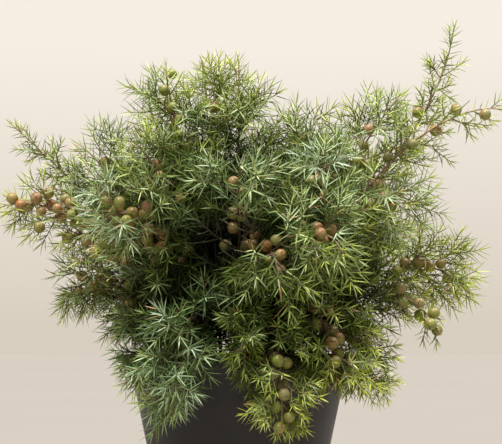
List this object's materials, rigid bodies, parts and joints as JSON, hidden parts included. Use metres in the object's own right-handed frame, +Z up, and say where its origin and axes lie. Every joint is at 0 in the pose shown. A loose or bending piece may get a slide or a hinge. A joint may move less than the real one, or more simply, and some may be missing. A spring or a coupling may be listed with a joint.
{
  "type": "potted juniper berry sprigs",
  "caption": "Cut juniper sprigs with sharp needles in whorls and round berries, fanned out and standing in water in a plain dark tapered pot.",
  "frame": {"origin": "centre of the pot's flat base, on the surface that it stands on", "axes": "+Z up, +X to the right and +Y to the back as the picture sees it"},
  "size_m": [0.4667, 0.3554, 0.4899],
  "materials": {
    "pot": "satin dark brown-black",
    "water": "clear",
    "needles": "waxy green needles with pale bands",
    "bark": "thin reddish-brown bark",
    "berry": "waxy olive to orange-brown with bloom"
  },
  "bodies": {
    "root": {"pot": "pot", "water": "water", "sprig_01": "needles", "sprig_02": "needles", "sprig_03": "needles", "sprig_04": "needles", "sprig_05": "needles", "sprig_06": "needles", "sprig_07": "needles", "sprig_08": "needles", "sprig_09": "needles", "sprig_10": "needles", "sprig_11": "needles", "sprig_12": "needles", "sprig_13": "needles", "sprig_14": "needles", "sprig_15": "needles", "sprig_16": "needles", "sprig_17": "needles", "sprig_18": "needles", "sprig_19": "needles", "sprig_20": "needles", "sprig_21": "needles", "sprig_22": "needles", "sprig_23": "needles", "sprig_24": "needles", "sprig_25": "needles", "sprig_26": "needles", "sprig_27": "needles", "sprig_28": "needles", "sprig_29": "needles", "sprig_30": "needles", "sprig_31": "needles", "sprig_32": "needles", "sprig_33": "needles", "sprig_34": "needles"}
  },
  "joints": []
}
